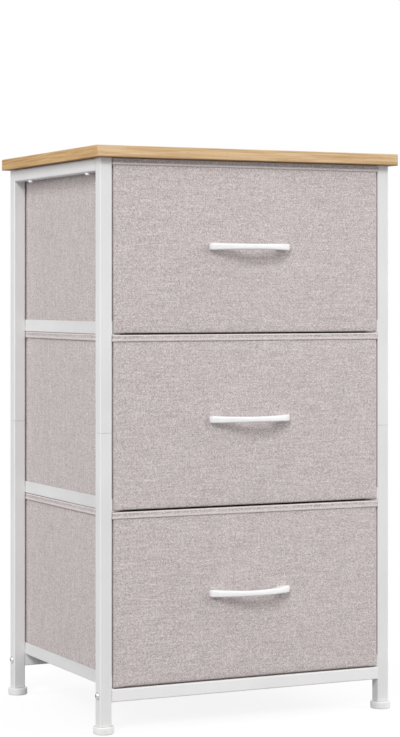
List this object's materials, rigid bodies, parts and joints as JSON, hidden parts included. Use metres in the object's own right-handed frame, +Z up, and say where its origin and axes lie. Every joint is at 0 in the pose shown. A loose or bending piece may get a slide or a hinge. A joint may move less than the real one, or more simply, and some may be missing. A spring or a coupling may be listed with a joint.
{
  "type": "drawer unit",
  "caption": "Narrow storage tower: wood-look top board on a square steel tube frame, sliding fabric drawers with bowed handles, round levelling feet.",
  "frame": {"origin": "on the floor, at the centre of the whole tower's footprint, handles included", "axes": "+X to the right as seen from the front, +Y to the back, +Z up; the drawers open towards -Y"},
  "size_m": [0.43, 0.351, 0.73],
  "materials": {
    "board_laminate": "satin oak-look laminate",
    "frame_paint": "satin white powder coat",
    "screw_paint": "white painted",
    "bolt_plating": "bright plated",
    "inner_plastic": "moulded",
    "cover_fabric": "linen-look slub weave",
    "binding_fabric": "folded woven binding",
    "lining_fabric": "bonded non-woven",
    "fibreboard": "raw fibreboard",
    "base_board_wrap": "non-woven wrap over board",
    "handle_plastic": "smooth white",
    "screw_steel": "zinc plated",
    "foot_plastic": "moulded white"
  },
  "bodies": {
    "frame": {"top_panel": "board_laminate", "top_screws": "screw_paint", "top_side_rail_left": "frame_paint", "top_side_rail_right": "frame_paint", "post_lower_front_left": "frame_paint", "post_upper_front_left": "frame_paint", "post_lower_front_right": "frame_paint", "post_upper_front_right": "frame_paint", "post_lower_rear_left": "frame_paint", "post_upper_rear_left": "frame_paint", "post_lower_rear_right": "frame_paint", "post_upper_rear_right": "frame_paint", "post_connectors": "inner_plastic", "foot_plugs": "inner_plastic", "runner_bottom_left": "frame_paint", "runner_bottom_right": "frame_paint", "runner_middle_left": "frame_paint", "runner_middle_right": "frame_paint", "runner_top_left": "frame_paint", "runner_top_right": "frame_paint", "cross_rail_front": "frame_paint", "cross_rail_rear": "frame_paint", "rail_inserts": "inner_plastic", "rail_bolts": "bolt_plating"},
    "drawer_top": {"drawer_top_cover": "cover_fabric", "drawer_top_lining": "lining_fabric", "drawer_top_front_board": "fibreboard", "drawer_top_side_boards": "fibreboard", "drawer_top_base_board": "base_board_wrap", "drawer_top_binding": "binding_fabric", "drawer_top_handle": "handle_plastic", "drawer_top_handle_screws": "screw_steel"},
    "drawer_middle": {"drawer_middle_cover": "cover_fabric", "drawer_middle_lining": "lining_fabric", "drawer_middle_front_board": "fibreboard", "drawer_middle_side_boards": "fibreboard", "drawer_middle_base_board": "base_board_wrap", "drawer_middle_binding": "binding_fabric", "drawer_middle_handle": "handle_plastic", "drawer_middle_handle_screws": "screw_steel"},
    "drawer_bottom": {"drawer_bottom_cover": "cover_fabric", "drawer_bottom_lining": "lining_fabric", "drawer_bottom_front_board": "fibreboard", "drawer_bottom_side_boards": "fibreboard", "drawer_bottom_base_board": "base_board_wrap", "drawer_bottom_binding": "binding_fabric", "drawer_bottom_handle": "handle_plastic", "drawer_bottom_handle_screws": "screw_steel"},
    "levelling_foot_front_left": {"foot_front_left": "foot_plastic"},
    "levelling_foot_front_right": {"foot_front_right": "foot_plastic"},
    "levelling_foot_rear_left": {"foot_rear_left": "foot_plastic"},
    "levelling_foot_rear_right": {"foot_rear_right": "foot_plastic"}
  },
  "joints": [
    {"name": "drawer_top_slide", "type": "slide", "parent": "frame", "child": "drawer_top", "axis": [0, -1, 0], "range_m": [0, 0.24]},
    {"name": "drawer_middle_slide", "type": "slide", "parent": "frame", "child": "drawer_middle", "axis": [0, -1, 0], "range_m": [0, 0.24]},
    {"name": "drawer_bottom_slide", "type": "slide", "parent": "frame", "child": "drawer_bottom", "axis": [0, -1, 0], "range_m": [0, 0.24]},
    {"name": "foot_front_left_screw", "type": "slide", "parent": "frame", "child": "levelling_foot_front_left", "axis": [0, 0, -1], "range_m": [0, 0.008]},
    {"name": "foot_front_right_screw", "type": "slide", "parent": "frame", "child": "levelling_foot_front_right", "axis": [0, 0, -1], "range_m": [0, 0.008]},
    {"name": "foot_rear_left_screw", "type": "slide", "parent": "frame", "child": "levelling_foot_rear_left", "axis": [0, 0, -1], "range_m": [0, 0.008]},
    {"name": "foot_rear_right_screw", "type": "slide", "parent": "frame", "child": "levelling_foot_rear_right", "axis": [0, 0, -1], "range_m": [0, 0.008]}
  ]
}
